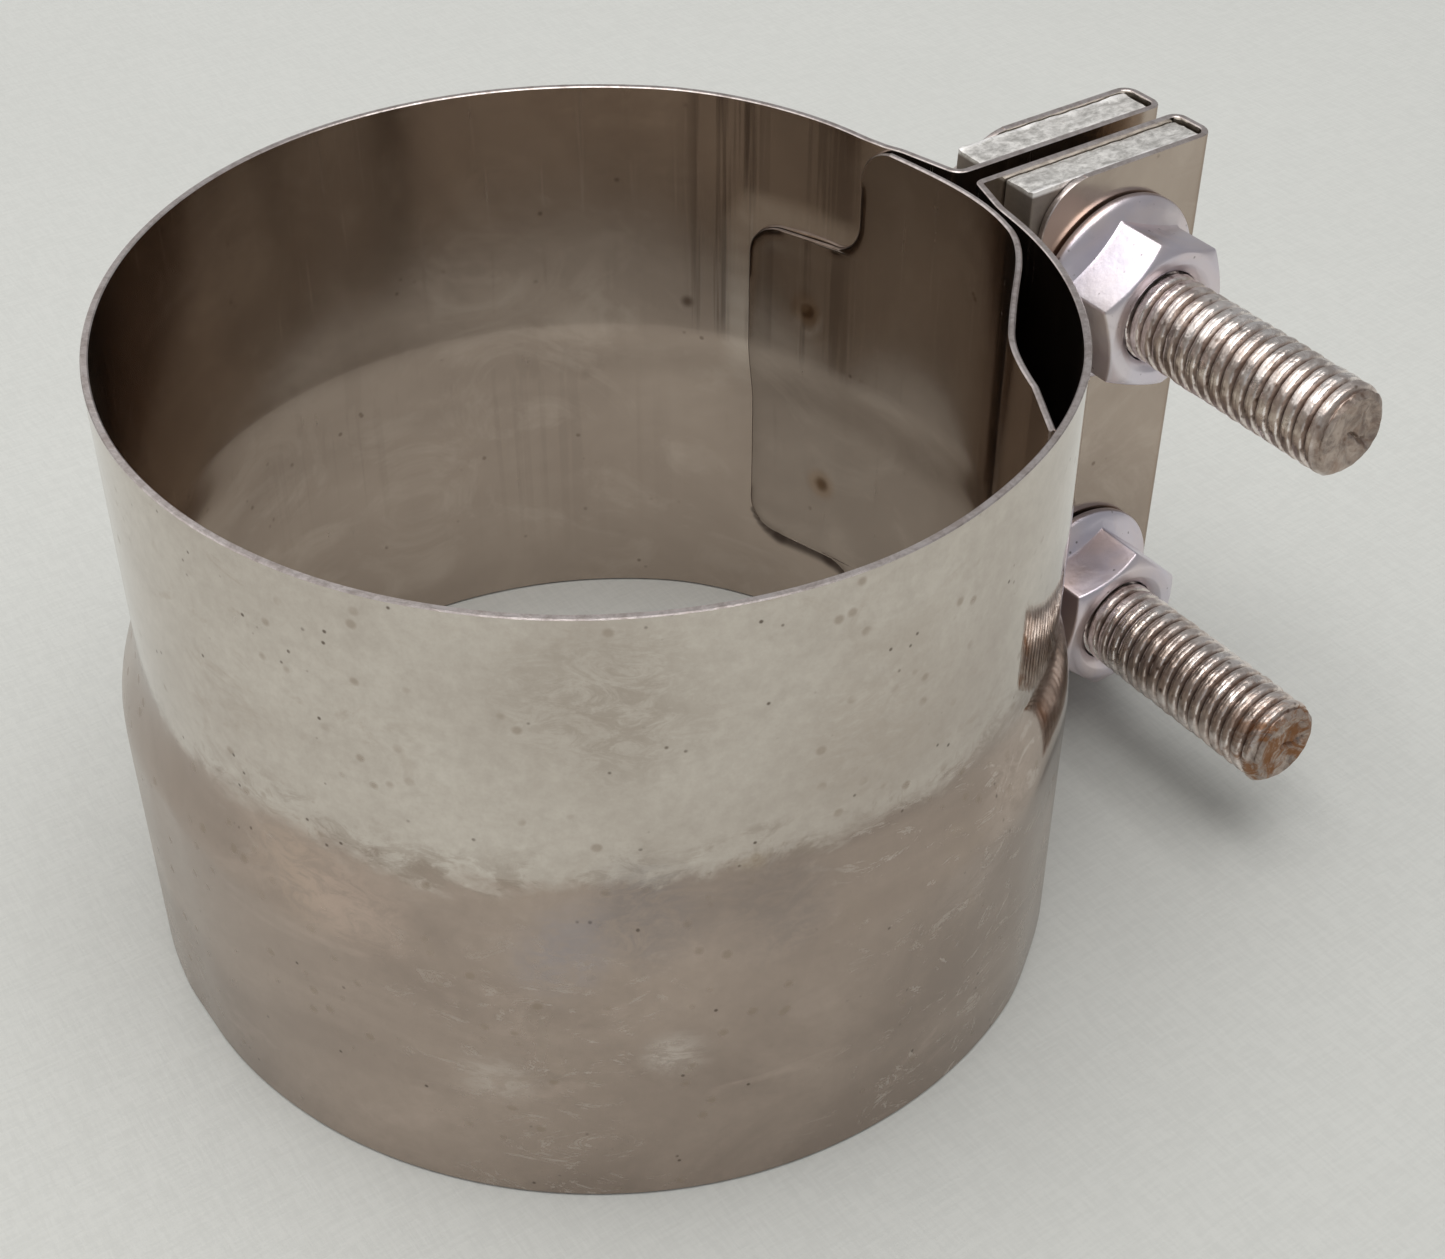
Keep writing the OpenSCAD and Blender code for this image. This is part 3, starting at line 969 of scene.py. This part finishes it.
def bar_steel():
    """Dull bar with a grey skin, and pale rough metal where its ends were sheared."""
    n = Nodes("sheared_bar")
    z = n.axis("Z")
    top = n.span(z, HEIGHT * MM - 0.0011, HEIGHT * MM - 0.0008, 0.0, 1.0)
    ends = n.math("MAXIMUM", top, n.span(z, 0.0006, 0.0009, 1.0, 0.0))
    grain = n.noise(900, 6, 0.75, 0.3, n.scaled(0.7, 1, 1))
    skin = n.mix(n.rise(n.noise(150, 5, 0.65), 0.3, 0.75), (0.33, 0.285, 0.25), (0.21, 0.18, 0.155))
    sheared = n.mix(n.rise(grain, 0.38, 0.60), (0.56, 0.54, 0.51), (0.92, 0.90, 0.87))
    side = n.math("ABSOLUTE", n.axis("Y"))
    outer = n.span(side, (bar_high[1] - 0.75) * MM, (bar_high[1] - 0.45) * MM, 0.0, 1.0)
    inner = n.span(side, (bar_low[1] + 0.55) * MM, (bar_low[1] + 0.30) * MM, 0.0, 0.7)
    burr = n.times(n.math("MAXIMUM", outer, inner), n.rise(n.noise(480, 4), 0.36, 0.54))
    sheared = n.mix(burr, sheared, (1.0, 0.98, 0.96))
    color = n.mix(ends, skin, sheared)
    rust = n.rise(n.noise(260, 6, 0.7, 1.0), 0.64, 0.74)
    color = n.mix(n.times(rust, 0.35), color, (0.27, 0.17, 0.10))
    rough = n.plus(n.span(grain, 0.3, 0.7, 0.50, 0.64), n.times(rust, 0.15), True)
    normal = n.bump(grain, 0.7, 0.00010)
    normal = n.bump(n.noise(240, 3), 0.3, 0.0003, normal)
    return n.done(color, rough, normal)


def zinc_plate():
    """Bright zinc with a pale blue and pink cast, fine dimples and small dark chips."""
    n = Nodes("zinc_plate")
    cast = n.noise(110, 3, 0.5, 0.8)
    color = n.mix(n.rise(cast, 0.36, 0.64), (0.74, 0.69, 0.77), (0.84, 0.74, 0.755))
    color = n.mix(n.ramp(n.noise(60, 4), [(0.5, 0.0), (0.75, 0.6)]), color, (0.88, 0.85, 0.87))
    chips = n.flecks(900, 0.08, 0.2, n.noise(420, 2), 0.56, 0.62)
    color = n.mix(n.times(chips, 0.8), color, (0.16, 0.13, 0.13))
    grime = n.rise(n.noise(190, 6, 0.7, 0.5), 0.58, 0.78)
    color = n.mix(n.times(grime, 0.35), color, (0.42, 0.38, 0.38))
    rough = n.plus(n.span(n.noise(240, 5, 0.6), 0.3, 0.7, 0.27, 0.42), n.times(grime, 0.12), True)
    normal = n.bump(n.noise(340, 4, 0.6), 0.32, 0.00020)
    normal = n.bump(n.noise(1500, 2), 0.15, 0.00003, normal)
    return n.done(color, rough, normal)


def bolt_steel(name, z_axis, rusty):
    """Tarnished rolled thread: bright worn crests, brown grime in the roots, rust near the end.

    z_axis is the height of its axis."""
    n = Nodes(name)
    from_axis = n.vector("SUBTRACT", n.place, (BOLT_X * MM, 0.0, z_axis * MM))
    reach = n.vector("LENGTH", n.vector("MULTIPLY", from_axis, (1, 0, 1)))
    y = n.axis("Y")
    head = n.span(y, SEAT_Y * MM - 0.0012, SEAT_Y * MM - 0.0006, 0.0, 1.0)
    face = n.span(y, bolt_low[1] * MM + 0.0006, bolt_low[1] * MM + 0.0014, 1.0, 0.0)
    crest = n.span(reach, (THREAD_R - 0.84) * MM, (THREAD_R - 0.42) * MM, 0.0, 1.0, "SMOOTHSTEP")
    crest = n.math("MAXIMUM", n.math("MAXIMUM", crest, head), face)
    tone = n.noise(170, 5, 0.65, 0.5)
    metal = n.mix(n.rise(tone, 0.42, 0.66), (1.0, 0.93, 0.89), (0.76, 0.65, 0.59))
    struck = n.mix(n.rise(n.noise(380, 5, 0.7, 0.6), 0.40, 0.60), (0.20, 0.15, 0.125), (0.52, 0.43, 0.37))
    metal = n.mix(n.times(face, 0.9), metal, struck)
    color = n.mix(crest, (0.21, 0.155, 0.13), metal)
    speck = n.flecks(800, 0.12, 0.28, n.noise(260, 3), 0.50, 0.58)
    color = n.mix(n.times(speck, 0.7), color, (0.16, 0.10, 0.07))
    grime = n.rise(n.noise(240, 6, 0.75, 0.8), 0.46, 0.60)
    color = n.mix(n.times(grime, 0.5), color, (0.36, 0.265, 0.22))
    rust_at = n.span(y, bolt_low[1] * MM, bolt_low[1] * MM + 0.010, 1.0, 0.0, "SMOOTHSTEP")
    rust = n.times(n.rise(n.noise(210, 6, 0.7, 1.2), 0.47, 0.58), rust_at)
    rust = n.times(rust, 0.85 if rusty else 0.15)
    color = n.mix(rust, color, (0.33, 0.15, 0.055))
    rough = n.plus(n.span(tone, 0.35, 0.7, 0.24, 0.40), n.times(rust, 0.30))
    rough = n.plus(n.plus(rough, n.times(face, 0.16)), n.times(n.invert(crest), 0.25), True)
    normal = n.bump(n.noise(330, 4, 0.65), 0.75, 0.00026)
    normal = n.bump(n.noise(1300, 3), 0.4, 0.00006, normal)
    return n.done(color, rough, normal)


def floor_cloth():
    """Plain pale floor with a faint weave."""
    n = Nodes("pale_floor")
    weave_a = n.noise(2600, 2, 0.5, 0.0, n.scaled(1, 0.12, 1))
    weave_b = n.noise(2600, 2, 0.5, 0.0, n.scaled(0.12, 1, 1))
    weave = n.plus(weave_a, weave_b)
    color = n.mix(n.rise(n.noise(7, 4, 0.6), 0.3, 0.75), (0.66, 0.665, 0.635), (0.63, 0.635, 0.605))
    color = n.mix(n.span(weave, 0.8, 1.2, 0.0, 0.35), color, (0.55, 0.555, 0.53))
    rough = n.span(weave, 0.8, 1.2, 0.85, 0.95)
    normal = n.bump(weave, 0.25, 0.0002)
    return n.done(color, rough, normal, 0.0)


# ---------------------------------------------------------------- the object

band = build_band()
sleeve = build_sleeve()
front_bar = build_bar("front_clamp_bar", -1.0, 3.0)
rear_bar = build_bar("rear_clamp_bar", 1.0, 8.0)
upper_bolt = build_bolt("upper_clamp_bolt", UPPER_Z, 1, radians(-38))
lower_bolt = build_bolt("lower_clamp_bolt", LOWER_Z, 2, radians(-12))
upper_nut = build_nut("upper_flange_nut", UPPER_Z, radians(-20.3), 2.0)
lower_nut = build_nut("lower_flange_nut", LOWER_Z, radians(-42.4), 5.0)

outer_side = outer_sheet()
dots = [(wall_point(az, height, 51.0), 0.0004 * size, 0.0021 * size, 0.8, (0.11, 0.07, 0.05))
        for az, height, size in ((60.6, 34.4, 1.0), (55.7, 8.2, 0.9), (45.3, 47.1, 0.6))]
under_nut = ((0.0572, -0.0076, 0.0705), 0.0012, 0.0062, 0.7, (0.80, 0.60, 0.43))
# The pale patch in the deep pocket behind the sleeve is painted light, lightening a gap that gets little
# light.
painted_pocket_light = (wall_point(-30, 62, 50.3), 0.006, 0.020, 0.6, (0.86, 0.74, 0.64))
# The marks under the tab are a painted shadow below its lower edge.
inner_side = inner_sheet("band_inner_side", 1.12, dots + [under_nut, painted_pocket_light] + weld_halo() + painted_shade_under_tab())
weld_rings = ((0.0014, 0.0030, 0.4, (0.30, 0.18, 0.09)), (0.0010, 0.0017, 0.85, (0.13, 0.075, 0.04)),
              (0.0002, 0.0008, 0.6, (0.33, 0.25, 0.19)))
# The sleeve's copy of the tarnish is painted darker (0.86) than the band's inner side (1.12).
sleeve_side = inner_sheet("sleeve_side", 0.86, [
    (wall_point(az, height, 48.8), *ring) for az, height in WELDS for ring in weld_rings])
edges = cut_edge("band_cut_edge", 0.0)
# The sleeve's cut edges are darker below the rim: partly tarnish, partly painted shade along the tab's edges.
sleeve_edges = cut_edge("sleeve_cut_edge", 0.6)
bar_material = bar_steel()
nut_material = zinc_plate()
for obj, body, node, slot, materials in (
    (band, "clamp", "band", "band_steel", (outer_side, inner_side, edges)),
    (sleeve, "clamp", "gap_sleeve", "band_steel", (sleeve_side, sleeve_side, sleeve_edges)),
    (front_bar, "clamp", "front_bar", "bar_steel", (bar_material,)),
    (rear_bar, "clamp", "rear_bar", "bar_steel", (bar_material,)),
    (upper_bolt, "upper_bolt", "upper_bolt", "bolt_steel", (bolt_steel("bolt_upper", UPPER_Z, False),)),
    (lower_bolt, "lower_bolt", "lower_bolt", "bolt_steel", (bolt_steel("bolt_lower", LOWER_Z, True),)),
    (upper_nut, "upper_nut", "upper_nut", "nut_zinc", (nut_material,)),
    (lower_nut, "lower_nut", "lower_nut", "nut_zinc", (nut_material,)),
):
    marks = [face.material_index for face in obj.data.polygons]
    obj.data.materials.clear()
    for material in materials:
        obj.data.materials.append(material)
    obj.data.polygons.foreach_set("material_index", [min(mark, len(materials) - 1) for mark in marks])
    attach(obj, body)
    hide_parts(node)

# ---------------------------------------------------------------- floor, light and camera

FLOOR_HALF = 3.0
FLOOR_Z = -0.0002
floor_mesh = bpy.data.meshes.new("floor")
corners = [(x * FLOOR_HALF, y * FLOOR_HALF, FLOOR_Z) for x, y in ((-1, -1), (1, -1), (1, 1), (-1, 1))]
floor_mesh.from_pydata(corners, [], [(0, 1, 2, 3)])
floor = bpy.data.objects.new("floor", floor_mesh)
bpy.context.scene.collection.objects.link(floor)
floor.data.materials.append(floor_cloth())

world = bpy.data.worlds.new("studio")
bpy.context.scene.world = world
world.use_nodes = True
back = world.node_tree.nodes["Background"]
back.inputs["Color"].default_value = (0.96, 0.98, 1.0, 1)
back.inputs["Strength"].default_value = 0.32

LIT = Vector((0, 0, 0.03))  # the point that the lights face
# The camera looks along +Y turned by VIEW_TURN towards +X, and down by VIEW_DROP.
VIEW_TURN = radians(34.84)
VIEW_DROP = radians(39.08)
VIEW_ROLL = radians(0.30)
CAMERA_AT = (-0.10237, -0.17049, 0.19461)
LENS = 55.53


def area_light(name, place, size_x, size_y, power, color):
    """Rectangular light facing LIT, with its power in watts."""
    data = bpy.data.lights.new(name, "AREA")
    data.shape = "RECTANGLE"
    data.size, data.size_y = size_x, size_y
    data.energy = power
    data.color = color
    light = bpy.data.objects.new(name, data)
    light.location = place
    light.rotation_euler = (LIT - Vector(place)).to_track_quat("-Z", "Y").to_euler()
    bpy.context.scene.collection.objects.link(light)


def from_view(right, ahead, up):
    """A place as far to the camera's right, away from it and up from the origin, in metres."""
    x = right * cos(VIEW_TURN) + ahead * sin(VIEW_TURN)
    y = -right * sin(VIEW_TURN) + ahead * cos(VIEW_TURN)
    return (x, y, up)


area_light("panel", from_view(0.05, -0.14, 1.32), 1.3, 1.3, 13.2, (1.0, 0.99, 0.975))
area_light("key", from_view(-0.70, 0.28, 0.88), 1.5, 1.4, 3.9, (1.0, 0.98, 0.955))
bpy.context.scene.view_settings.view_transform = "Standard"

camera_data = bpy.data.cameras.new("camera")
camera_data.sensor_width = 36.0
camera_data.lens = LENS
camera_data.clip_start = 0.01
camera = bpy.data.objects.new("camera", camera_data)
ahead = Vector((sin(VIEW_TURN) * cos(VIEW_DROP), cos(VIEW_TURN) * cos(VIEW_DROP), -sin(VIEW_DROP)))
level = Vector((cos(VIEW_TURN), -sin(VIEW_TURN), 0))
above = level.cross(ahead)
right = level * cos(VIEW_ROLL) + above * sin(VIEW_ROLL)
up = above * cos(VIEW_ROLL) - level * sin(VIEW_ROLL)
pose = Matrix((right, up, -ahead)).transposed().to_4x4()
pose.translation = Vector(CAMERA_AT)
camera.matrix_world = pose
bpy.context.scene.collection.objects.link(camera)
bpy.context.scene.camera = camera
